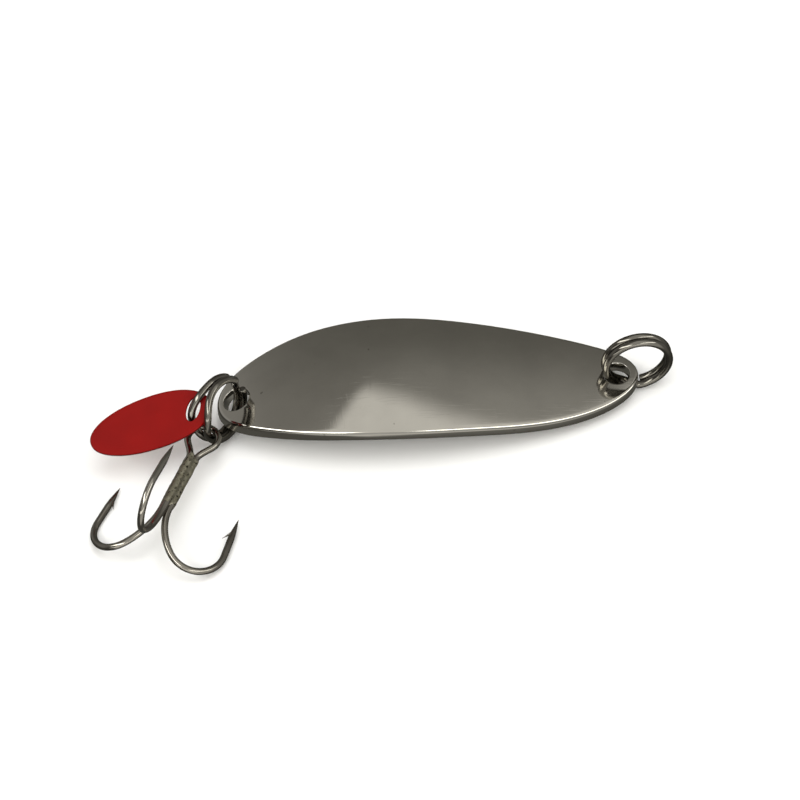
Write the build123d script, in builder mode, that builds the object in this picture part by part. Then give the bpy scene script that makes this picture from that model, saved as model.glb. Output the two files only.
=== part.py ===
from build123d import *
import os
from math import sin, cos, pi, radians, exp

os.makedirs("parts", exist_ok=True)

# Spoon lure lying on a table. Millimetres, +Z up, z = 0 is the table, +X runs along the blade
# from the hook end to the line end.

# ---- driving dimensions ----
blade_length = 50.0
blade_thickness = 1.5
blade_cross_radius = 50.0      # radius of the arch across the blade
blade_mid = Vector(5.844, 7.18, 2.995)  # middle of the straight line through both tips, on the top face
hole_radius = 1.6
tail_hole_x = 2.25             # hole centre from the hook end
nose_hole_x = 47.38            # hole centre from the hook end
edge_radius = 0.4

ring_wire = 0.45               # wire radius of both split rings
front_ring_radius = 3.8        # centreline radius
rear_ring_radius = 3.7
ring_gap = 0.94                # spacing of the two turns

tab_length = 14.71
tab_width = 6.24
tab_thickness = 0.5
tab_hole_long = 1.42           # half the length of the tab's oval hole
tab_hole_short = 0.68
tab_hole_place = (5.107, -0.122)
tab_hole_turn = 52.9           # from the tab's long axis

hook_wire = 0.4                # wire radius of the treble hook
shank_offset = 0.475           # from the treble's axis to each of its three wires
spear_length = 5.5
point_length = 2.9


def vec(length, azimuth, elevation):
    """A vector of the given length; angles in degrees."""
    a = radians(azimuth)
    e = radians(elevation)
    return Vector(length * cos(e) * cos(a), length * cos(e) * sin(a), length * sin(e))


# ---- blade ----
def crown(u):
    """Height of the blade's hump above the line through its tips, u = 0 at the hook end."""
    return 10 * u * (1 - u) * (2.22 - 0.56 * u - 2.17 * u * u)


def crown_point(u):
    return blade_mid + Vector((u - 0.5) * blade_length, 0, crown(u))


def crown_normal(u):
    slope = (crown(u + 0.001) - crown(u - 0.001)) / (0.002 * blade_length)
    return Vector(-slope, 0, 1).normalized()


# half widths by distance from the hook end
flank = [(0.55, 2.05), (2.0, 3.75), (5.0, 5.6), (10.0, 7.5), (16.0, 8.6), (22.5, 8.9), (30.0, 8.4),
         (37.5, 7.3), (44.0, 5.4), (47.75, 3.45), (49.4, 1.85)]
tail_x = blade_mid.X - blade_length / 2
nose_x = tail_x + blade_length
mid_y = blade_mid.Y
near_side = [(tail_x + x, mid_y - w) for x, w in flank]
far_side = [(tail_x + x, mid_y + w) for x, w in reversed(flank)]
rim = [(tail_x, mid_y)] + near_side + [(nose_x, mid_y)] + far_side

with BuildPart() as blade:
    with BuildLine() as crown_line:
        Spline([crown_point(-0.04 + 1.08 * i / 24) for i in range(25)])
    start = crown_line.line @ 0
    heading = crown_line.line % 0
    with BuildSketch(Plane(origin=start, x_dir=(0, 1, 0), z_dir=heading)) as cross_section:
        with BuildLine():
            half_angle = radians(11.6)
            outer = blade_cross_radius
            inner = blade_cross_radius - blade_thickness
            s = sin(half_angle)
            c = cos(half_angle)
            top = ThreePointArc((-outer * s, outer * c - outer), (0, 0), (outer * s, outer * c - outer))
            under = ThreePointArc((-inner * s, inner * c - outer), (0, inner - outer),
                                  (inner * s, inner * c - outer))
            Line(top @ 0, under @ 0)
            Line(top @ 1, under @ 1)
        make_face()
    sweep(path=crown_line.line)
    with BuildSketch(Plane.XY.offset(-5)) as outline:
        with BuildLine():
            Spline(rim, periodic=True)
        make_face()
    extrude(amount=20, mode=Mode.INTERSECT)
    fillet(blade.edges().filter_by(lambda e: e.length > 5), edge_radius)
    for hole_x in (tail_hole_x, nose_hole_x):
        u = hole_x / blade_length
        with BuildSketch(Plane(origin=crown_point(u) + crown_normal(u) * 2, x_dir=(0, 1, 0),
                               z_dir=crown_normal(u))):
            Circle(hole_radius)
        extrude(amount=-6, mode=Mode.SUBTRACT)
    fillet(blade.edges().filter_by(GeomType.BSPLINE).filter_by(lambda e: 9.5 < e.length < 10.6), 0.15)
blade.part.label = "blade"


# ---- split rings ----
def ring_offset(turned, spread):
    """Sideways place of the wire after it has turned so many degrees; spread(angle) is the gap."""
    step_start = 360 - 34
    if turned < step_start:
        side = -1
    elif turned < 360:
        side = -cos(pi * (turned - step_start) / 34)
    else:
        side = 1
    return side * spread(turned % 360) / 2


def ring_points(centre, across, along, radius, first, spread):
    """Centreline of a split ring: two turns less a short gap, starting at the angle 'first'."""
    up = across.cross(along)
    points = []
    count = 84
    total = 720 - 37
    for i in range(count + 1):
        turned = total * i / count
        a = radians(first + turned)
        side = ring_offset(turned, lambda t: spread((first + t) % 360))
        points.append(centre + along * (radius * cos(a)) + up * (radius * sin(a)) + across * side)
    return points


def even_spread(angle):
    return ring_gap


def pried_spread(angle):
    """The turns of the rear ring are pried apart where the end of the tab sits between them."""
    return ring_gap + 1.5 * exp(-(((angle - 155 + 180) % 360 - 180) / 38) ** 2)


front_ring_centre = blade_mid + Vector(24.78, 0.14, 1.58)
front_ring_across = vec(1, -86.6, 0)
front_ring_along = Vector(0, 0, 1).cross(front_ring_across)
with BuildPart() as front_split_ring:
    with BuildLine() as front_coil:
        Spline(ring_points(front_ring_centre, front_ring_across, front_ring_along, front_ring_radius,
                           280, even_spread))
    with BuildSketch(Plane(origin=front_coil.line @ 0, z_dir=front_coil.line % 0)):
        Circle(ring_wire)
    sweep(path=front_coil.line)
front_split_ring.part.label = "front_split_ring"

rear_ring_centre = blade_mid + Vector(-24.72, -1.96, 1.75)
rear_ring_across = vec(1, -41, 13)
rear_ring_along = Vector(0, 0, 1).cross(rear_ring_across).normalized()
with BuildPart() as rear_split_ring:
    with BuildLine() as rear_coil:
        Spline(ring_points(rear_ring_centre, rear_ring_across, rear_ring_along, rear_ring_radius,
                           40, pried_spread))
    with BuildSketch(Plane(origin=rear_coil.line @ 0, z_dir=rear_coil.line % 0)):
        Circle(ring_wire)
    sweep(path=rear_coil.line)
rear_split_ring.part.label = "rear_split_ring"

# ---- red tab ----
tab_axis = vec(1, 14.03, 6.12)
tab_level = (Vector(0, 0, 1) - tab_axis * tab_axis.Z).normalized()
tab_side = tab_level.cross(tab_axis)
tab_roll = radians(24.42)
tab_across = tab_side * cos(tab_roll) + tab_level * sin(tab_roll)
tab_centre = blade_mid + Vector(-32.81, -4.32, 2.936)
tab_plane = Plane(origin=tab_centre, x_dir=tab_axis, z_dir=tab_axis.cross(tab_across))


def tab_edge(angle):
    """Outline of the tab: an oval squarer than an ellipse, a little wider at the hole end."""
    x = abs(cos(angle)) ** 0.94 * (1 if cos(angle) >= 0 else -1)
    y = abs(sin(angle)) ** 0.94 * (1 if sin(angle) >= 0 else -1)
    return (tab_length / 2 * x, tab_width / 2 * y * (1 + 0.059 * x))


with BuildPart() as red_tab:
    with BuildSketch(tab_plane):
        with BuildLine():
            Spline([tab_edge(2 * pi * i / 32) for i in range(32)], periodic=True)
        make_face()
        with Locations(tab_hole_place):
            Ellipse(tab_hole_long, tab_hole_short, rotation=tab_hole_turn, mode=Mode.SUBTRACT)
    extrude(amount=tab_thickness / 2, both=True)
    fillet(red_tab.edges().filter_by(lambda e: e.length > 20), 0.2)
red_tab.part.label = "red_tab"

# ---- treble hook ----
treble_eye = blade_mid + Vector(-26.99, -5.11, 0.60)
shank = vec(1, -116.0, 1.9)
shank_up = (Vector(0, 0, 1) - shank * shank.Z).normalized()
shank_side = shank.cross(shank_up)
bend = [(7.1, 50), (3.15, 65), (3.75, 69.6)]   # radius and angle of the three arcs of a hook's bend


def radial(angle):
    a = radians(angle)
    return shank_up * cos(a) + shank_side * sin(a)


def hook_line(wire_angle, bend_angle, straight):
    """Edges of one hook from the end of its straight shank to the start of its point."""
    out = radial(bend_angle)
    foot = treble_eye + radial(wire_angle) * shank_offset
    a = straight
    b = 0.0
    turned = 0.0
    corners = []
    for r, sweep_angle in bend:
        for half in (0.5, 1.0):
            t = radians(turned + sweep_angle * half)
            t0 = radians(turned)
            corners.append((a + r * (sin(t) - sin(t0)), b + r * (cos(t0) - cos(t))))
        turned += sweep_angle
        a, b = corners[-1]
    t = radians(turned)
    spear = shank * cos(t) + out * sin(t)
    points = [foot + shank * straight] + [foot + shank * p + out * q for p, q in corners]
    return points, spear, out


def draw_bend(points, spear):
    ThreePointArc(points[0], points[1], points[2])
    ThreePointArc(points[2], points[3], points[4])
    ThreePointArc(points[4], points[5], points[6])
    Line(points[6], points[6] + spear * (spear_length - point_length))


left_points, left_spear, left_out = hook_line(120, 115, 11.1)
right_points, right_spear, right_out = hook_line(-120, -112.7, 10.95)
top_points, top_spear, top_out = hook_line(0, -2.2, 11.9)

# the eye loop and the twin shank of the double wire lie in one plane, just under the treble's axis
eye_radius = 1.8
eye_centre = treble_eye - shank_up * (shank_offset / 2)
eye_reach = radians(118)
left_foot = treble_eye + radial(120) * shank_offset + shank * 3.3
right_foot = treble_eye + radial(-120) * shank_offset + shank * 3.3


def eye_point(t):
    return eye_centre - shank * (eye_radius * cos(t)) + shank_side * (eye_radius * sin(t))


def eye_heading(t):
    return shank * sin(t) + shank_side * cos(t)


def barb_plane(tip, spear, out):
    """Plane of a hook with its origin at the tip, x back along the spear and y toward the shank."""
    inward = (out * -1 - spear * (spear.dot(out) * -1)).normalized()
    return Plane(origin=tip, x_dir=spear * -1, z_dir=(spear * -1).cross(inward))


barb_outline = [(1.6, 0.05), (3.35, 0.98), (3.0, 0.2)]
double_ends = []
for points, spear, out in ((left_points, left_spear, left_out), (right_points, right_spear, right_out)):
    neck = points[6] + spear * (spear_length - point_length)
    double_ends.append((neck, neck + spear * point_length, spear, out))

with BuildPart() as treble_double_hook:
    with BuildLine() as double_wire:
        Line(left_points[6] + left_spear * (spear_length - point_length), left_points[6])
        ThreePointArc(left_points[6], left_points[5], left_points[4])
        ThreePointArc(left_points[4], left_points[3], left_points[2])
        ThreePointArc(left_points[2], left_points[1], left_points[0])
        Line(left_points[0], left_foot)
        Spline([left_foot, eye_point(eye_reach)], tangents=[-shank, -eye_heading(eye_reach)])
        ThreePointArc(eye_point(eye_reach), eye_point(0), eye_point(-eye_reach))
        Spline([eye_point(-eye_reach), right_foot], tangents=[-eye_heading(-eye_reach), shank])
        Line(right_foot, right_points[0])
        draw_bend(right_points, right_spear)
    with BuildSketch(Plane(origin=double_wire.line @ 0, z_dir=double_wire.line % 0)):
        Circle(hook_wire)
    sweep(path=double_wire.line)
    for neck, tip, spear, out in double_ends:
        with BuildSketch(Plane(origin=neck, z_dir=spear)):
            Circle(hook_wire)
        with BuildSketch(Plane(origin=tip, z_dir=spear)):
            Circle(0.03)
        loft()
        with BuildSketch(barb_plane(tip, spear, out)):
            Polygon(*barb_outline, align=None)
        extrude(amount=0.1, both=True)
treble_double_hook.part.label = "treble_double_hook"

single_neck = top_points[6] + top_spear * (spear_length - point_length)
single_tip = single_neck + top_spear * point_length
with BuildPart() as treble_single_hook:
    with BuildLine() as single_wire:
        Line(treble_eye + radial(0) * shank_offset + shank * 3.3, top_points[0])
        draw_bend(top_points, top_spear)
    with BuildSketch(Plane(origin=single_wire.line @ 0, z_dir=single_wire.line % 0)):
        Circle(hook_wire)
    sweep(path=single_wire.line)
    with BuildSketch(Plane(origin=single_neck, z_dir=top_spear)):
        Circle(hook_wire)
    with BuildSketch(Plane(origin=single_tip, z_dir=top_spear)):
        Circle(0.03)
    loft()
    with BuildSketch(barb_plane(single_tip, top_spear, top_out)):
        Polygon(*barb_outline, align=None)
    extrude(amount=0.1, both=True)
treble_single_hook.part.label = "treble_single_hook"

braze_length = 7.4
with BuildPart() as treble_braze:
    with BuildSketch(Plane(origin=treble_eye + shank * 3.4, x_dir=shank_side, z_dir=shank)):
        for angle in (0, 120, -120):
            with Locations((shank_offset * sin(radians(angle)), -shank_offset * cos(radians(angle)))):
                Circle(hook_wire + 0.1)
        make_hull()
    extrude(amount=braze_length)
    add(treble_double_hook.part, mode=Mode.SUBTRACT)
    add(treble_single_hook.part, mode=Mode.SUBTRACT)
treble_braze.part.label = "treble_braze"

export_step(blade.part, "parts/blade.step")
export_step(front_split_ring.part, "parts/front_split_ring.step")
export_step(rear_split_ring.part, "parts/rear_split_ring.step")
export_step(red_tab.part, "parts/red_tab.step")
export_step(treble_double_hook.part, "parts/treble_double_hook.step")
export_step(treble_single_hook.part, "parts/treble_single_hook.step")
export_step(treble_braze.part, "parts/treble_braze.step")
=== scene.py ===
from math import cos, exp, pi, radians, sin, sqrt

import bmesh
import bpy
import numpy as np
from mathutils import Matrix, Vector, noise


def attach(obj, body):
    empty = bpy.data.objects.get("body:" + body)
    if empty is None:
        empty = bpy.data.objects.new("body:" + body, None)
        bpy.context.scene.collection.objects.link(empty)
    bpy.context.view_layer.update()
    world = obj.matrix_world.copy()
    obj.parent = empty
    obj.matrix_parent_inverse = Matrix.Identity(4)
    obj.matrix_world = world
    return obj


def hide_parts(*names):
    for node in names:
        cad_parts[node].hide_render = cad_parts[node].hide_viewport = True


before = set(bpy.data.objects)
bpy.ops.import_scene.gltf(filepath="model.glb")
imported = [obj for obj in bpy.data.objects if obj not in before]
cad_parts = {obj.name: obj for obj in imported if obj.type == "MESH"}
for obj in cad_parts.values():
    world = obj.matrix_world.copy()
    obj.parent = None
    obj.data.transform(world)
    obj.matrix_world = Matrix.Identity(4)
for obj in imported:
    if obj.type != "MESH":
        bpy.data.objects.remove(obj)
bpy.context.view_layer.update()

MM = 0.001

# ---- the lure's dimensions, in millimetres ----
BLADE_MID = np.array((5.844, 7.18, 2.995))
BLADE_LENGTH = 50.0
BLADE_THICKNESS = 1.5
CROSS_RADIUS = 50.0     # of the arch across the blade
EDGE_RADIUS = 0.4
HOLE_RADIUS = 1.6
HOLE_EDGE = 0.16
TAIL_HOLE = 2.25        # from the blade's hook end to the middles of its holes
NOSE_HOLE = 47.38
# half widths of the blade along it, from its hook end
FLANK = [(0.55, 2.05), (2.0, 3.75), (5.0, 5.6), (10.0, 7.5), (16.0, 8.6), (22.5, 8.9), (30.0, 8.4),
         (37.5, 7.3), (44.0, 5.4), (47.75, 3.45), (49.4, 1.85)]
RING_WIRE = 0.45        # wire radius of both split rings
RING_END = 0.1          # rounding of their cut ends
FRONT_RING_RADIUS = 3.8
FRONT_RING_MID = BLADE_MID + (24.78, 0.14, 1.58)
REAR_RING_RADIUS = 3.7
REAR_RING_MID = BLADE_MID + (-24.72, -1.96, 1.75)
RING_GAP = 0.94         # spacing of a ring's two turns
RING_TURN = 720 - 37    # degrees of wire in a ring
RING_STEP = 34          # degrees over which the wire steps from one turn to the other
PRIED_GAP = 1.5         # extra spacing of the rear ring's turns, its middle and its spread in degrees
PRIED_AT = 155
PRIED_SPREAD = 38
TAB_MID = BLADE_MID + (-32.81, -4.32, 2.936)
TAB_LENGTH = 14.71
TAB_WIDTH = 6.24
TAB_SQUARENESS = 0.94   # 1 is an ellipse, less is squarer
TAB_FLARE = 0.059       # share by which it is wider at its hole end
TAB_THICKNESS = 0.5
TAB_EDGE = 0.2          # rounding of the tab's edge and, next, of its hole's
TAB_HOLE_EDGE = 0.08
TAB_HOLE = np.array((5.107, -0.122))    # along and across the tab from its middle
TAB_HOLE_LONG = 1.48    # half lengths of the oval hole, 0.06 more than in the CAD to clear the wire
TAB_HOLE_SHORT = 0.74
TAB_HOLE_TURN = radians(52.9)
HOOK_WIRE = 0.4         # wire radius of the treble hook
TIP_RADIUS = 0.022      # at the points of the hooks
SHANK_OFFSET = 0.475    # from the treble's axis to each of its three wires
SHANK_START = 3.3       # where the wires come together below the eye
EYE_RADIUS = 1.8
EYE_REACH = radians(118)                       # how far round the eye runs, each way from its top
BEND = [(7.1, 50), (3.15, 65), (3.75, 69.6)]   # radius and angle of a bend's three arcs
SPEAR = 5.5             # straight length from the bend to the tip
POINT = 2.9             # length of the tapered point
BARB_START = 1.45       # from the tip back to where the barb leaves the spear
BARB_LENGTH = 1.9
BARB_RISE = 0.96        # height of its free end off the spear's middle
BRAZE_SKIN = 0.475      # radius of the coat of braze over each wire
BRAZE_START = 3.25
BRAZE_LENGTH = 7.7


# ---- vectors and curves ----
def unit(v):
    return v / np.linalg.norm(v)


def vec(azimuth, elevation):
    """Unit vector at an azimuth and an elevation in degrees."""
    a = radians(azimuth)
    e = radians(elevation)
    return np.array((cos(e) * cos(a), cos(e) * sin(a), sin(e)))


def closed_spline(points, count):
    """Smooth closed curve through the points, as count points evenly spaced along its length.

    A periodic cubic spline over chord length; bend is its second derivative at each point.
    """
    p = np.array(points, float)
    n = len(p)
    following = np.roll(p, -1, axis=0)
    h = np.linalg.norm(following - p, axis=1)
    before = np.roll(h, 1)
    rise = (following - p) / h[:, None]
    system = np.zeros((n, n))
    for i in range(n):
        system[i, i - 1] += before[i]
        system[i, i] += 2 * (before[i] + h[i])
        system[i, (i + 1) % n] += h[i]
    bend = np.linalg.solve(system, 6 * (rise - np.roll(rise, 1, axis=0)))
    bend_after = np.roll(bend, -1, axis=0)
    fine = []
    for i in range(n):
        for s in np.linspace(0, h[i], 160, endpoint=False):
            a = h[i] - s
            fine.append((bend[i] * a ** 3 + bend_after[i] * s ** 3) / (6 * h[i])
                        + (p[i] / h[i] - bend[i] * h[i] / 6) * a
                        + (following[i] / h[i] - bend_after[i] * h[i] / 6) * s)
    fine = np.array(fine + [fine[0]])
    along = distances(fine)
    wanted = np.linspace(0, along[-1], count, endpoint=False)
    return np.stack([np.interp(wanted, along, fine[:, k]) for k in range(2)], axis=1)


def distances(line):
    """How far along the line each of its points is."""
    return np.concatenate(([0], np.cumsum(np.linalg.norm(np.diff(line, axis=0), axis=1))))


# ---- mesh building ----
class Shell:
    """Vertices and faces of one piece, gathered patch by patch and welded at the end."""

    def __init__(self):
        self.points = []
        self.faces = []

    def grid(self, rows, wrap=False, flip=False):
        """Quads between neighbouring rows of equal length; wrap joins each row's end to its start."""
        base = len(self.points)
        width = len(rows[0])
        for row in rows:
            self.points.extend(row)
        for i in range(len(rows) - 1):
            for j in range(width if wrap else width - 1):
                k = (j + 1) % width
                quad = (base + i * width + j, base + i * width + k,
                        base + (i + 1) * width + k, base + (i + 1) * width + j)
                self.faces.append(quad[::-1] if flip else quad)

    def cap(self, row):
        """One flat face over the end of a tube."""
        base = len(self.points)
        self.points.extend(row)
        self.faces.append(tuple(range(base, base + len(row))))

    def build(self, name, material, sharp_angle=None):
        """The object: smooth shaded, but sharp where faces meet at more than that angle in degrees."""
        mesh = bpy.data.meshes.new(name)
        mesh.from_pydata([tuple(float(c) * MM for c in p) for p in self.points], [], self.faces)
        bm = bmesh.new()
        bm.from_mesh(mesh)
        bmesh.ops.remove_doubles(bm, verts=bm.verts, dist=2e-6)
        bmesh.ops.recalc_face_normals(bm, faces=bm.faces)
        for face in bm.faces:
            face.smooth = True
        if sharp_angle is not None:
            for edge in bm.edges:
                if len(edge.link_faces) == 2 and edge.calc_face_angle(0) > radians(sharp_angle):
                    edge.smooth = False
        bm.to_mesh(mesh)
        bm.free()
        piece = bpy.data.objects.new(name, mesh)
        bpy.context.scene.collection.objects.link(piece)
        mesh.materials.append(material)
        return piece


def tube(shell, line, radii, sides=28, first_side=None, squash=1.0):
    """A wire along the line with one radius for each point; squash flattens it."""
    line = np.array(line, float)
    heading = np.gradient(line, axis=0)
    heading /= np.linalg.norm(heading, axis=1)[:, None]
    side = first_side if first_side is not None else np.cross(heading[0], (0.3, 0.5, 0.8))
    rows = []
    for i in range(len(line)):
        side = unit(side - heading[i] * side.dot(heading[i]))
        other = np.cross(heading[i], side)
        angles = np.linspace(0, 2 * pi, sides, endpoint=False)
        rows.append([line[i] + radii[i] * (side * cos(a) + other * sin(a) * squash) for a in angles])
    shell.grid(rows, wrap=True)
    shell.cap(rows[0][::-1])
    shell.cap(rows[-1])


def blunt_ends(line, radius, edge):
    """Line and radii of a wire whose cut ends have a small rounded edge."""
    start = unit(line[0] - line[1])
    end = unit(line[-1] - line[-2])
    angles = np.linspace(pi / 2, 0, 5)
    head = [line[0] - start * edge * (1 - sin(a)) for a in angles]
    tail = [line[-1] - end * edge * (1 - sin(a)) for a in angles]
    end_radii = [radius - edge * (1 - cos(a)) for a in angles]
    clear = edge * 1.3
    from_start = np.linalg.norm(line - line[0], axis=1)
    from_end = np.linalg.norm(line - line[-1], axis=1)
    middle = line[(from_start > clear) & (from_end > clear)]
    points = np.vstack((head, middle, tail[::-1]))
    radii = np.concatenate((end_radii, np.full(len(middle), radius), end_radii[::-1]))
    return points, radii


# ---- materials ----
def node_material(name):
    material = bpy.data.materials.new(name)
    material.use_nodes = True
    nodes = material.node_tree.nodes
    return material, nodes, material.node_tree.links, nodes["Principled BSDF"]


def mapped_noise(nodes, links, scale, stretch=(1, 1, 1), turn=(0, 0, 0), detail=3.0, rough=0.5):
    """Noise over the object's own coordinates; scale is in features per metre, turn in degrees."""
    place = nodes.new("ShaderNodeTexCoord")
    mapping = nodes.new("ShaderNodeMapping")
    mapping.inputs["Scale"].default_value = stretch
    mapping.inputs["Rotation"].default_value = [radians(t) for t in turn]
    grain = nodes.new("ShaderNodeTexNoise")
    grain.inputs["Scale"].default_value = scale
    grain.inputs["Detail"].default_value = detail
    grain.inputs["Roughness"].default_value = rough
    links.new(place.outputs["Object"], mapping.inputs["Vector"])
    links.new(mapping.outputs["Vector"], grain.inputs["Vector"])
    return grain.outputs["Fac"]


def ramp(nodes, links, source, stops):
    """Colours for a value between 0 and 1, from (value, colour) stops."""
    node = nodes.new("ShaderNodeValToRGB")
    links.new(source, node.inputs["Fac"])
    elements = node.color_ramp.elements
    while len(elements) < len(stops):
        elements.new(0.5)
    for element, (place, colour) in zip(elements, stops):
        element.position = place
        element.color = (*colour, 1)
    return node.outputs["Color"]


def grey(v):
    return (v, v, v)


def mix(nodes, links, first, second, factor, how="MIX"):
    """Two colours mixed by a factor; each is a socket, a colour or a number."""
    node = nodes.new("ShaderNodeMix")
    node.data_type = "RGBA"
    node.blend_type = how
    for source, socket in ((factor, node.inputs[0]), (first, node.inputs[6]), (second, node.inputs[7])):
        if isinstance(source, (int, float)):
            socket.default_value = source
        elif isinstance(source, tuple):
            socket.default_value = (*source, 1)
        else:
            links.new(source, socket)
    return node.outputs[2]


def bump(nodes, links, height, depth, strength, under=None):
    """Normal for a height map of that depth in metres, on top of the normal under it."""
    node = nodes.new("ShaderNodeBump")
    node.inputs["Distance"].default_value = depth
    node.inputs["Strength"].default_value = strength
    links.new(height, node.inputs["Height"])
    if under is not None:
        links.new(under, node.inputs["Normal"])
    return node.outputs["Normal"]


def plated(name, low, high, smooth, dull, scratches, specks):
    """Bright nickel plate: slightly cloudy, with hairline scratches, smears and a few specks.

    Its colour varies from low to high and its roughness from smooth to dull; scratches and specks
    say how strong those are.
    """
    material, nodes, links, shader = node_material(name)
    shader.inputs["Metallic"].default_value = 1.0
    cloud = mapped_noise(nodes, links, 160, detail=4)
    tint = ramp(nodes, links, cloud, [(0.3, low), (0.7, high)])
    spot = mapped_noise(nodes, links, 900, detail=2, rough=0.4)
    spot_mask = ramp(nodes, links, spot, [(0.76, grey(0.0)), (0.79, grey(specks))])
    colour = mix(nodes, links, tint, (0.10, 0.085, 0.06), spot_mask)
    links.new(colour, shader.inputs["Base Color"])
    smear = mapped_noise(nodes, links, 130, stretch=(0.6, 1.6, 1), turn=(0, 0, 24), detail=5, rough=0.62)
    haze = ramp(nodes, links, smear, [(0.35, grey(smooth)), (0.75, grey(dull))])
    links.new(haze, shader.inputs["Roughness"])
    hair = mapped_noise(nodes, links, 1.0, stretch=(260, 5200, 260), turn=(0, 0, 31), detail=2)
    hair_line = ramp(nodes, links, hair, [(0.60, grey(0.0)), (0.66, grey(1.0)), (0.70, grey(0.0))])
    hair_two = mapped_noise(nodes, links, 1.0, stretch=(4200, 240, 240), turn=(0, 0, 12), detail=2)
    cross_line = ramp(nodes, links, hair_two, [(0.64, grey(0.0)), (0.69, grey(1.0)), (0.73, grey(0.0))])
    ripple = mapped_noise(nodes, links, 95, detail=1)
    normal = bump(nodes, links, ripple, 0.00012, 0.35)
    normal = bump(nodes, links, hair_line, 0.000004, scratches, under=normal)
    normal = bump(nodes, links, cross_line, 0.000003, scratches, under=normal)
    links.new(normal, shader.inputs["Normal"])
    return material


def red_enamel():
    """Red enamel on the tab, glossy with a fine orange-peel surface and a few tiny dust nibs."""
    material, nodes, links, shader = node_material("red_enamel")
    cloud = mapped_noise(nodes, links, 190, detail=4)
    tone = ramp(nodes, links, cloud, [(0.3, (0.16, 0.0010, 0.0004)), (0.7, (0.195, 0.0015, 0.0006))])
    links.new(tone, shader.inputs["Base Color"])
    smear = mapped_noise(nodes, links, 420, detail=4)
    haze = ramp(nodes, links, smear, [(0.3, grey(0.30)), (0.75, grey(0.42))])
    links.new(haze, shader.inputs["Roughness"])
    shader.inputs["Specular IOR Level"].default_value = 0.12
    peel = mapped_noise(nodes, links, 2600, detail=2)
    nibs = mapped_noise(nodes, links, 1500, detail=1)
    nib_mask = ramp(nodes, links, nibs, [(0.74, grey(0.0)), (0.82, grey(1.0))])
    normal = bump(nodes, links, peel, 0.00001, 0.35)
    links.new(bump(nodes, links, nib_mask, 0.00003, 0.5, under=normal), shader.inputs["Normal"])
    return material


def braze_metal():
    """Dull mottled brazing with grey-green stain and dark pits."""
    material, nodes, links, shader = node_material("braze")
    shader.inputs["Metallic"].default_value = 0.85
    blotch = mapped_noise(nodes, links, 1500, detail=5, rough=0.7)
    tone = ramp(nodes, links, blotch, [(0.25, (0.11, 0.098, 0.066)), (0.45, (0.24, 0.225, 0.165)),
                                       (0.7, (0.38, 0.36, 0.28))])
    pits = mapped_noise(nodes, links, 3600, detail=3)
    pit_mask = ramp(nodes, links, pits, [(0.36, grey(1.0)), (0.42, grey(0.0))])
    links.new(mix(nodes, links, tone, (0.02, 0.016, 0.012), pit_mask), shader.inputs["Base Color"])
    haze = ramp(nodes, links, blotch, [(0.3, grey(0.55)), (0.7, grey(0.30))])
    links.new(haze, shader.inputs["Roughness"])
    normal = bump(nodes, links, blotch, 0.00004, 0.5)
    links.new(bump(nodes, links, pits, 0.00002, 0.4, under=normal), shader.inputs["Normal"])
    return material


def paint_edge_shade(material, stops):
    """Painted shade: darker on the sheared edge and in the holes, where the surface rounds away from the
    flat face; the mesh's own tilt attribute masks it.
    """
    nodes = material.node_tree.nodes
    links = material.node_tree.links
    shader = nodes["Principled BSDF"]
    tilt = nodes.new("ShaderNodeAttribute")
    tilt.attribute_name = "tilt"
    shade = ramp(nodes, links, tilt.outputs["Fac"], [(place, grey(level)) for place, level in stops])
    plain = shader.inputs["Base Color"].links[0].from_socket
    links.new(mix(nodes, links, plain, shade, 1.0, "MULTIPLY"), shader.inputs["Base Color"])


def mark_tilt(piece, face):
    """Stores per vertex how far the surface leans from the flat face: 0 on it, 1 on the edge."""
    mesh = piece.data
    lean = mesh.attributes.new("tilt", "FLOAT", "POINT")
    slack = 1.04               # so that the blade's gentle arch still counts as flat
    for i, vertex in enumerate(mesh.vertices):
        lean.data[i].value = 1 - min(1.0, abs(vertex.normal.dot(Vector(face))) * slack)


blade_metal = plated("polished_nickel", (0.58, 0.565, 0.525), (0.66, 0.645, 0.60),
                     smooth=0.06, dull=0.13, scratches=0.22, specks=0.4)
# painted shade: a dark band where the blade's edge and its hole rims round over
paint_edge_shade(blade_metal, [(0.0, 1.0), (0.3, 1.0), (0.45, 0.25), (0.7, 0.8), (1.0, 1.0)])
ring_metal = plated("ring_nickel", (0.13, 0.123, 0.105), (0.28, 0.27, 0.245),
                    smooth=0.08, dull=0.19, scratches=0.2, specks=0.5)
hook_metal = plated("hook_nickel", (0.19, 0.175, 0.15), (0.46, 0.44, 0.40),
                    smooth=0.06, dull=0.17, scratches=0.2, specks=0.6)
enamel = red_enamel()
# painted shade on the tab's rounded rim and round its hole
paint_edge_shade(enamel, [(0.0, 1.0), (0.15, 1.0), (0.6, 0.3), (1.0, 0.35)])
braze_finish = braze_metal()


# ---- blade ----
def crown(u):
    """Height of the hump above the line through the blade's tips, u = 0 at the hook end."""
    return 10 * u * (1 - u) * (2.22 - 0.56 * u - 2.17 * u * u)


def crown_normal(u):
    """The X and Z parts of the hump's normal."""
    slope = (crown(u + 0.001) - crown(u - 0.001)) / (0.002 * BLADE_LENGTH)
    size = np.sqrt(1 + slope * slope)
    return -slope / size, 1 / size


TAIL_X = BLADE_MID[0] - BLADE_LENGTH / 2
NOSE_X = TAIL_X + BLADE_LENGTH
MID_Y = BLADE_MID[1]


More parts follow.
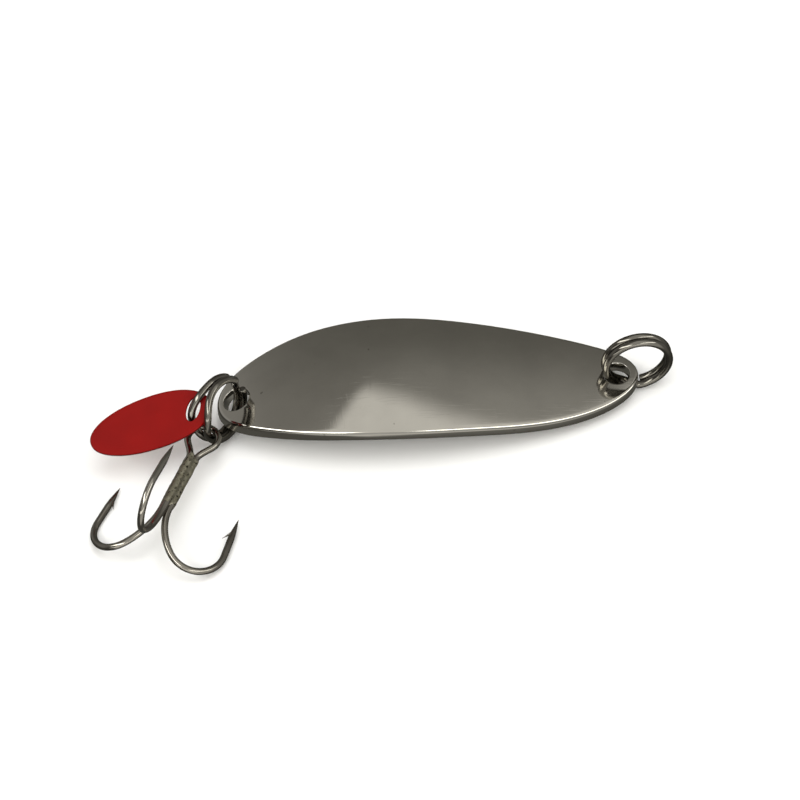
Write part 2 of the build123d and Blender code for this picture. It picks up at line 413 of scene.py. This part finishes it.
def surface(x, y, depth=0.0):
    """The point of the blade at plan place (x, y), that far under its top face.

    Depth is measured along the top face's normal, so where that normal starts is found by trial.
    """
    plan_x = np.array(x, float)
    across = np.array(y, float) - MID_Y
    aim_x = plan_x.copy()
    aim_y = across.copy()
    for _ in range(7):
        sag = CROSS_RADIUS - np.sqrt(CROSS_RADIUS ** 2 - aim_y ** 2)
        u = (aim_x - TAIL_X) / BLADE_LENGTH
        for _ in range(5):
            nx, nz = crown_normal(u)
            u = (aim_x + nx * sag - TAIL_X) / BLADE_LENGTH
        nx, nz = crown_normal(u)
        lean = aim_y / CROSS_RADIUS
        face = np.sqrt(1 - lean * lean)
        if depth == 0.0:
            break
        aim_x = plan_x + nx * face * depth
        aim_y = across + lean * depth
    z = BLADE_MID[2] + crown(u) - nz * sag - nz * face * depth
    return np.stack((plan_x, across + MID_Y, z), axis=-1)


def make_blade():
    """The blade: its rounded rim, then each face as a strip between two round patches at the holes."""
    shell = Shell()
    near = [(TAIL_X + x, MID_Y - w) for x, w in FLANK]
    far = [(TAIL_X + x, MID_Y + w) for x, w in reversed(FLANK)]
    outline = closed_spline([(TAIL_X, MID_Y)] + near + [(NOSE_X, MID_Y)] + far, 4000)
    heading = np.roll(outline, -1, axis=0) - np.roll(outline, 1, axis=0)
    heading /= np.linalg.norm(heading, axis=1)[:, None]
    inward = np.stack((-heading[:, 1], heading[:, 0]), axis=1)

    columns = 170              # quads along the middle strip
    rows = 56                  # quads across it
    tip = 72                   # quads round each tip
    split_tail = TAIL_X + 6.5
    split_nose = NOSE_X - 6.5
    middle_x = np.linspace(split_tail, split_nose, columns + 1)
    first_half = outline[:, 1] < MID_Y
    spots = np.arange(len(outline))

    def spot_at(x, near_side):
        """Where along the outline it has that x, on one flank."""
        chosen = spots[first_half] if near_side else spots[~first_half]
        order = np.argsort(outline[chosen, 0])
        return np.interp(x, outline[chosen, 0][order], chosen[order])

    def at(spot, values):
        """Values read between the outline's points."""
        low = np.floor(spot).astype(int) % len(outline)
        high = (low + 1) % len(outline)
        share = (spot - np.floor(spot))[:, None]
        return values[low] * (1 - share) + values[high] * share

    near_spots = spot_at(middle_x, True)
    far_spots = spot_at(middle_x, False)
    nose_spots = np.linspace(near_spots[-1], far_spots[-1], tip + 1)
    tail_spots = np.linspace(far_spots[0], near_spots[0] + len(outline), tip + 1)
    ring_spots = np.concatenate((near_spots, nose_spots[1:-1], far_spots[::-1], tail_spots[1:-1]))
    rim = at(ring_spots, outline)
    rim_in = at(ring_spots, inward)
    rim_in /= np.linalg.norm(rim_in, axis=1)[:, None]

    def rim_row(inset, drop, low_side):
        plan = rim + rim_in * inset
        row = surface(plan[:, 0], plan[:, 1], BLADE_THICKNESS if low_side else 0.0)
        row[:, 2] += drop if low_side else -drop
        return list(row)

    corner = np.linspace(0, pi / 2, 9)
    wall = [rim_row(EDGE_RADIUS * (1 - sin(a)), EDGE_RADIUS * (1 - cos(a)), False) for a in corner]
    under = [rim_row(EDGE_RADIUS * (1 - sin(a)), EDGE_RADIUS * (1 - cos(a)), True) for a in corner]
    shell.grid(wall + under[::-1], wrap=True)

    inset_rim = rim + rim_in * EDGE_RADIUS
    n_mid = columns + 1
    near_edge = inset_rim[:n_mid]
    nose_edge = inset_rim[n_mid:n_mid + tip - 1]
    far_edge = inset_rim[n_mid + tip - 1:2 * n_mid + tip - 1][::-1]
    tail_edge = inset_rim[2 * n_mid + tip - 1:]
    shares = np.linspace(0, 1, rows + 1)

    def column(i):
        return near_edge[i] + (far_edge[i] - near_edge[i]) * shares[:, None]

    tail_loop = np.vstack((column(0), tail_edge))
    nose_loop = np.vstack((column(columns), nose_edge[::-1]))

    def hole_rim(place, loop, depth):
        """A hole's middle on one face, its axis, and the plan directions toward the loop's points."""
        nx, nz = crown_normal(place / BLADE_LENGTH)
        axis = np.array((nx, 0, nz))
        centre = surface(TAIL_X + place, MID_Y) - axis * depth
        around = np.arctan2(loop[:, 1] - centre[1], (loop[:, 0] - centre[0]) / nz)
        return centre, axis, np.stack((np.cos(around) * nz, np.sin(around)), axis=1)

    for low_side in (False, True):
        depth = BLADE_THICKNESS if low_side else 0.0
        strip = [column(i) for i in range(n_mid)]
        shell.grid([list(surface(c[:, 0], c[:, 1], depth)) for c in strip], flip=low_side)
        for place, loop in ((TAIL_HOLE, tail_loop), (NOSE_HOLE, nose_loop)):
            centre, _, directions = hole_rim(place, loop, depth)
            edge = centre[:2] + directions * (HOLE_RADIUS + HOLE_EDGE)
            patch = []
            for s in np.linspace(0, 1, 15) ** 1.25:
                plan = edge + (loop - edge) * s
                patch.append(list(surface(plan[:, 0], plan[:, 1], depth)))
            shell.grid(patch, wrap=True, flip=low_side)

    for place, loop in ((TAIL_HOLE, tail_loop), (NOSE_HOLE, nose_loop)):
        sections = []
        for low_side in (False, True):
            depth = BLADE_THICKNESS if low_side else 0.0
            centre, axis, directions = hole_rim(place, loop, depth)
            part = []
            for a in np.linspace(0, pi / 2, 6):
                plan = centre[:2] + directions * (HOLE_RADIUS + HOLE_EDGE * (1 - sin(a)))
                row = surface(plan[:, 0], plan[:, 1], depth)
                row += axis * HOLE_EDGE * (1 - cos(a)) * (1 if low_side else -1)
                part.append(list(row))
            sections.append(part)
        shell.grid(sections[0] + sections[1][::-1], wrap=True, flip=True)
    piece = shell.build("blade_shell", blade_metal)
    mark_tilt(piece, (0, 0, 1))
    return piece


blade = make_blade()
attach(blade, "blade")
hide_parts("blade")


# ---- split rings ----
def coil(centre, across, along, radius, first, gap_at):
    """Centreline of a split ring: two turns of wire less a short gap, from the angle first.

    The wire runs on one side of the ring, steps across, and runs back round on the other side.
    """
    up = np.cross(across, along)
    step_start = 360 - RING_STEP
    points = []
    for turn in np.linspace(0, RING_TURN, 500):
        if turn < step_start:
            side = -1.0
        elif turn < 360:
            side = -cos(pi * (turn - step_start) / RING_STEP)
        else:
            side = 1.0
        a = radians(first + turn)
        points.append(centre + along * radius * cos(a) + up * radius * sin(a)
                      + across * side * gap_at((first + turn) % 360) / 2)
    return np.array(points)


def even_gap(_):
    """The front ring's turns are as far apart all the way round."""
    return RING_GAP


def pried_gap(angle):
    """The turns of the rear ring are pried apart where the end of the tab sits between them."""
    return RING_GAP + PRIED_GAP * exp(-(((angle - PRIED_AT + 180) % 360 - 180) / PRIED_SPREAD) ** 2)


def make_ring(name, line, body, node):
    shell = Shell()
    points, radii = blunt_ends(line, RING_WIRE, RING_END)
    tube(shell, points, radii, sides=32)
    ring = shell.build(name, ring_metal, sharp_angle=50)
    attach(ring, body)
    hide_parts(node)


up_z = np.array((0.0, 0.0, 1.0))
front_across = vec(-86.6, 0)
front_line = coil(FRONT_RING_MID, front_across, np.cross(up_z, front_across),
                  FRONT_RING_RADIUS, first=280, gap_at=even_gap)
make_ring("front_ring_coil", front_line, "front_ring", "front_split_ring")
rear_across = vec(-41, 13)
rear_line = coil(REAR_RING_MID, rear_across, unit(np.cross(up_z, rear_across)),
                 REAR_RING_RADIUS, first=40, gap_at=pried_gap)
make_ring("rear_ring_coil", rear_line, "rear_ring", "rear_split_ring")


# ---- red tab ----
def make_tab():
    """The tab: a rounded edge, two flat faces and the wall of its oval hole."""
    axis = vec(14.03, 6.12)
    level = unit(up_z - axis * axis[2])
    side = np.cross(level, axis)
    roll = radians(24.42)
    across = side * cos(roll) + level * sin(roll)
    face = np.cross(axis, across)

    def outline(a):
        """An oval squarer than an ellipse, a little wider at the hole end."""
        x = abs(cos(a)) ** TAB_SQUARENESS * (1 if cos(a) >= 0 else -1)
        y = abs(sin(a)) ** TAB_SQUARENESS * (1 if sin(a) >= 0 else -1)
        return (TAB_LENGTH / 2 * x, TAB_WIDTH / 2 * y * (1 + TAB_FLARE * x))

    edge = closed_spline([outline(2 * pi * i / 48) for i in range(48)], 260)
    heading = np.roll(edge, -1, axis=0) - np.roll(edge, 1, axis=0)
    heading /= np.linalg.norm(heading, axis=1)[:, None]
    inward = np.stack((-heading[:, 1], heading[:, 0]), axis=1)
    long_way = np.array((cos(TAB_HOLE_TURN), sin(TAB_HOLE_TURN)))
    short_way = np.array((-sin(TAB_HOLE_TURN), cos(TAB_HOLE_TURN)))

    def hole_at(spread):
        """The hole's outline, widened by spread, one point for each point of the tab's edge."""
        s = directions @ long_way / (TAB_HOLE_LONG + spread)
        t = directions @ short_way / (TAB_HOLE_SHORT + spread)
        return TAB_HOLE + directions / np.sqrt(s * s + t * t)[:, None]

    def place(plan, height):
        return [TAB_MID + axis * p[0] + across * p[1] + face * height for p in plan]

    shell = Shell()
    corner = np.linspace(0, pi / 2, 8)
    half = TAB_THICKNESS / 2
    upper = []
    lower = []
    for a in corner:
        plan = edge + inward * TAB_EDGE * (1 - sin(a))
        upper.append(place(plan, half - TAB_EDGE * (1 - cos(a))))
        lower.append(place(plan, -half + TAB_EDGE * (1 - cos(a))))
    shell.grid(upper + lower[::-1], wrap=True)
    inner_edge = edge + inward * TAB_EDGE
    around = np.arctan2(inner_edge[:, 1] - TAB_HOLE[1], inner_edge[:, 0] - TAB_HOLE[0])
    directions = np.stack((np.cos(around), np.sin(around)), axis=1)
    start = hole_at(TAB_HOLE_EDGE)
    for sign in (1, -1):
        rows = [place(start + (inner_edge - start) * s, sign * half) for s in np.linspace(0, 1, 26) ** 1.3]
        shell.grid(rows, wrap=True, flip=sign < 0)
    walls = []
    for sign, order in ((1, corner), (-1, corner[::-1])):
        for a in order:
            walls.append(place(hole_at(TAB_HOLE_EDGE * (1 - sin(a))),
                               sign * (half - TAB_HOLE_EDGE * (1 - cos(a)))))
    shell.grid(walls, wrap=True, flip=True)
    piece = shell.build("red_flipper", enamel)
    mark_tilt(piece, face)
    return piece


tab = make_tab()
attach(tab, "tab")
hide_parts("red_tab")


# ---- treble hook ----
EYE = BLADE_MID + (-26.99, -5.11, 0.60)
SHANK = vec(-116.0, 1.9)
SHANK_UP = unit(up_z - SHANK * SHANK[2])
SHANK_SIDE = np.cross(SHANK, SHANK_UP)


def radial(angle):
    """Direction out of the shank at an angle from its upper side."""
    a = radians(angle)
    return SHANK_UP * cos(a) + SHANK_SIDE * sin(a)


def bend_line(wire_angle, bend_angle, straight):
    """One hook from its shank round the bend to its tip, its spear's direction and its way out."""
    out = radial(bend_angle)
    foot = EYE + radial(wire_angle) * SHANK_OFFSET
    plan = [(s, 0.0) for s in np.linspace(SHANK_START, straight, 60)]
    turn = 0.0
    for radius, sweep in BEND:
        down, aside = plan[-1]
        t0 = radians(turn)
        for share in np.linspace(0, 1, 34)[1:]:
            t = radians(turn + sweep * share)
            plan.append((down + radius * (sin(t) - sin(t0)), aside + radius * (cos(t0) - cos(t))))
        turn += sweep
    t = radians(turn)
    down, aside = plan[-1]
    for s in np.linspace(0, SPEAR, 60)[1:]:
        plan.append((down + s * cos(t), aside + s * sin(t)))
    line = np.array([foot + SHANK * down + out * aside for down, aside in plan])
    spear = SHANK * cos(t) + out * sin(t)
    return line, spear, out


def taper(from_tip):
    """Wire radius at distances from a hook's tip: a slender point, then the full wire."""
    share = np.clip(from_tip / POINT, 0, 1)
    return TIP_RADIUS + (HOOK_WIRE - TIP_RADIUS) * (1 - (1 - share) ** 1.35)


def add_barb(shell, tip, spear, out):
    """The barb: a sliver of the wire raised off the spear toward the shank, pointing back."""
    inward = unit(-out + spear * spear.dot(out))
    back = -spear
    line = []
    sizes = []
    for s in np.linspace(0, 1, 22):
        line.append(tip + back * (BARB_START + BARB_LENGTH * s) + inward * (0.02 + BARB_RISE * s ** 1.45))
        sizes.append(0.035 + 0.2 * sin(pi * min(1, 0.12 + 0.88 * s)) * (1 - s) ** 0.4)
    tube(shell, line, sizes, sides=16, first_side=np.cross(back, inward), squash=0.62)


def hermite(p0, d0, p1, d1, count):
    """A smooth link between two points with given directions."""
    size = np.linalg.norm(p1 - p0)
    s = np.linspace(0, 1, count)[:, None]
    return (p0 * (2 * s ** 3 - 3 * s ** 2 + 1) + d0 * size * (s ** 3 - 2 * s ** 2 + s)
            + p1 * (3 * s ** 2 - 2 * s ** 3) + d1 * size * (s ** 3 - s ** 2))


def make_double_hook():
    """One wire from tip to tip: a hook, up the shank, round the eye, down the shank and a hook."""
    left, left_spear, left_out = bend_line(wire_angle=120, bend_angle=115, straight=11.1)
    right, right_spear, right_out = bend_line(wire_angle=-120, bend_angle=-112.7, straight=10.95)
    eye_centre = EYE - SHANK_UP * (SHANK_OFFSET / 2)

    def eye_point(t):
        return eye_centre - SHANK * EYE_RADIUS * cos(t) + SHANK_SIDE * EYE_RADIUS * sin(t)

    def eye_heading(t):
        return SHANK * sin(t) + SHANK_SIDE * cos(t)

    loop = np.array([eye_point(t) for t in np.linspace(EYE_REACH, -EYE_REACH, 90)])
    enter = hermite(left[0], -SHANK, loop[0], -eye_heading(EYE_REACH), 40)
    leave = hermite(loop[-1], -eye_heading(-EYE_REACH), right[0], SHANK, 40)
    wire = np.vstack((left[::-1], enter[1:], loop[1:], leave[1:], right[1:]))
    lengths = distances(wire)
    shell = Shell()
    tube(shell, wire, taper(np.minimum(lengths, lengths[-1] - lengths)))
    add_barb(shell, left[-1], left_spear, left_out)
    add_barb(shell, right[-1], right_spear, right_out)
    return shell.build("treble_pair_wire", hook_metal, sharp_angle=60)


def make_single_hook():
    """The third hook, whose wire lies along the other two."""
    line, spear, out = bend_line(wire_angle=0, bend_angle=-2.2, straight=11.9)
    lengths = distances(line)
    shell = Shell()
    tube(shell, line, taper(lengths[-1] - lengths))
    add_barb(shell, line[-1], spear, out)
    return shell.build("treble_third_wire", hook_metal, sharp_angle=60)


def make_braze():
    """Brazing along the shank: it fills the grooves between the wires, lumpy and uneven."""
    shell = Shell()
    rows = []
    for s in np.linspace(0, 1, 150):
        along = BRAZE_START + BRAZE_LENGTH * s
        end = min(1, s / 0.10, (1 - s) / 0.14)
        fill = sqrt(max(0.0, 1 - (1 - end) ** 2))
        row = []
        for k in range(72):
            theta = 2 * pi * k / 72
            near = min(((theta - radians(c) + pi) % (2 * pi) - pi for c in (0, 120, 240)), key=abs)
            if abs(near) < radians(30):
                r = SHANK_OFFSET * cos(near) + sqrt(BRAZE_SKIN ** 2 - (SHANK_OFFSET * sin(near)) ** 2)
            else:
                r = (SHANK_OFFSET / 2 + BRAZE_SKIN) / cos(radians(60) - abs(near))
            between = (1 - cos(3 * theta)) / 2       # 0 over a wire, 1 midway between two
            where = Vector((along * 1.3, cos(theta) * 1.6, sin(theta) * 1.6))
            lump = 0.055 * noise.noise(where * 1.1) + 0.03 * noise.noise(where * 3.1)
            r = r - 0.30 * (1 - fill) * between - 0.05 * (1 - fill) + lump * fill
            r -= 0.10 * between
            direction = SHANK_UP * cos(theta) + SHANK_SIDE * sin(theta)
            row.append(EYE + SHANK * along + direction * r)
        rows.append(row)
    shell.grid(rows, wrap=True)
    shell.cap(rows[0][::-1])
    shell.cap(rows[-1])
    return shell.build("treble_brazing", braze_finish, sharp_angle=70)


for piece, node, slot_name in ((make_double_hook(), "treble_double_hook", "hook"),
                               (make_single_hook(), "treble_single_hook", "hook"),
                               (make_braze(), "treble_braze", "braze")):
    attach(piece, "treble")
    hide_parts(node)


# ---- studio ----
def make_floor():
    mesh = bpy.data.meshes.new("floor")
    side = 3.0
    corners = [(-side, -side, 0), (side, -side, 0), (side, side, 0), (-side, side, 0)]
    mesh.from_pydata(corners, [], [(0, 1, 2, 3)])
    floor = bpy.data.objects.new("floor", mesh)
    bpy.context.scene.collection.objects.link(floor)
    floor.location.z = -0.00005        # a hair under the lure, so that the two faces don't meet
    material, nodes, links, shader = node_material("pale_table")
    speck = mapped_noise(nodes, links, 40, detail=4)
    tone = ramp(nodes, links, speck, [(0.3, grey(0.86)), (0.7, grey(0.88))])
    links.new(tone, shader.inputs["Base Color"])
    shader.inputs["Roughness"].default_value = 0.9
    shader.inputs["Specular IOR Level"].default_value = 0.1
    mesh.materials.append(material)
    floor.visible_glossy = False


def area_light(name, direction, distance, size, power):
    """A cool soft lamp aimed at the middle; the plated metal reflects only the room."""
    data = bpy.data.lights.new(name, "AREA")
    data.shape = "RECTANGLE"
    data.size, data.size_y = size
    data.energy = power
    data.color = (0.97, 0.985, 1.0)
    light = bpy.data.objects.new(name, data)
    bpy.context.scene.collection.objects.link(light)
    light.location = Vector(direction).normalized() * distance
    light.rotation_mode = "QUATERNION"
    light.rotation_quaternion = (-Vector(direction)).to_track_quat("-Z", "Y")
    light.visible_glossy = False


def make_world():
    """The room the metal reflects, over direction: grey walls, a bright panel and three lamp strips."""
    world = bpy.data.worlds.new("studio")
    bpy.context.scene.world = world
    world.use_nodes = True
    nodes = world.node_tree.nodes
    links = world.node_tree.links
    background = nodes["Background"]
    place = nodes.new("ShaderNodeTexCoord")

    def side_of(direction, low, high):
        """0 to 1 as the cosine of the angle from a direction goes from low to high."""
        dot = nodes.new("ShaderNodeVectorMath")
        dot.operation = "DOT_PRODUCT"
        links.new(place.outputs["Generated"], dot.inputs[0])
        dot.inputs[1].default_value = Vector(direction).normalized()
        step = nodes.new("ShaderNodeMapRange")
        step.interpolation_type = "SMOOTHSTEP"
        step.inputs["From Min"].default_value = low
        step.inputs["From Max"].default_value = high
        links.new(dot.outputs["Value"], step.inputs["Value"])
        return step.outputs["Result"]

    def times(a, b):
        node = nodes.new("ShaderNodeMath")
        node.operation = "MULTIPLY"
        links.new(a, node.inputs[0])
        links.new(b, node.inputs[1])
        return node.outputs[0]

    def band(across, centre, half_width):
        """1 inside a soft-edged band round a centre direction, 0 beyond its half width across."""
        axis = unit(np.array(across, float))
        middle = float(axis @ unit(np.array(centre, float)))
        soft = half_width * 0.35
        return times(side_of(axis, middle - half_width - soft, middle - half_width),
                     side_of(-axis, -middle - half_width - soft, -middle - half_width))

    room = side_of((0, 0, 1), 0.1, 0.9)
    wall = mix(nodes, links, (0.34, 0.33, 0.31), (0.22, 0.21, 0.19), room)
    below = side_of((0, 0, -1), -0.05, 0.25)
    wall = mix(nodes, links, wall, (0.10, 0.097, 0.085), below)
    front = side_of((0, -1, 0.1), 0.0, 0.5)
    wall = mix(nodes, links, wall, (0.10, 0.096, 0.085), front)
    back = side_of((0.25, 0.9, 0.35), 0.55, 1.0)
    wall = mix(nodes, links, wall, (0.13, 0.125, 0.11), back)
    glow = times(side_of((0.745, -0.549, 0.376), -0.3, 0.25), side_of((0.15, -0.72, 0.68), -0.3, 0.4))
    wall = mix(nodes, links, wall, (0.30, 0.29, 0.265), glow)
    panel = times(side_of((0.745, -0.549, 0.376), -0.02, 0.05),
                  side_of((-0.365, -0.72, 0.59), -0.01, 0.14))
    wall = mix(nodes, links, wall, (0.72, 0.70, 0.65), panel)
    # each strip: its direction, the way it runs, half its length and width, and how bright it is
    strips = (((-0.55, -0.35, 0.75), (0.5, -0.8, 0), 0.45, 0.09, 5.5),
              ((0.6, -0.45, 0.66), (0.6, 0.8, 0), 0.40, 0.07, 4.2),
              ((-0.2, -0.97, 0.15), (1, 0, 0), 0.55, 0.06, 2.6))
    for direction, along, half_length, half_width, level in strips:
        across = np.cross(direction, along)
        strip = times(side_of(direction, 0.6, 0.9),
                      times(band(along, direction, half_length), band(across, direction, half_width)))
        wall = mix(nodes, links, wall, (level, level * 0.98, level * 0.92), strip)
    links.new(wall, background.inputs["Color"])
    background.inputs["Strength"].default_value = 1.0


make_floor()
make_world()
area_light("top", (0.02, -0.05, 1.0), 1.0, (0.8, 0.7), 4.4)
area_light("fill", (-0.3, -0.8, 1.0), 1.1, (0.9, 0.6), 2.3)
area_light("back", (0.1, 0.9, 1.0), 1.0, (0.9, 0.5), 0.9)

# ---- camera ----
camera_data = bpy.data.cameras.new("camera")
camera = bpy.data.objects.new("camera", camera_data)
bpy.context.scene.collection.objects.link(camera)
camera_aim = (BLADE_MID + (-3.288, 1.219, -3.198)) * MM
camera_distance = 0.350
backward = unit(np.array((-0.0694, -0.6390, 0.7660)))
camera.location = camera_aim + backward * camera_distance
camera.rotation_mode = "QUATERNION"
camera.rotation_quaternion = Vector(-backward).to_track_quat("-Z", "Y")
camera_data.lens = 132.3
camera_data.sensor_width = 36
camera_data.clip_start = 0.01
camera_data.clip_end = 20
bpy.context.scene.camera = camera
bpy.context.scene.view_settings.view_transform = "Standard"
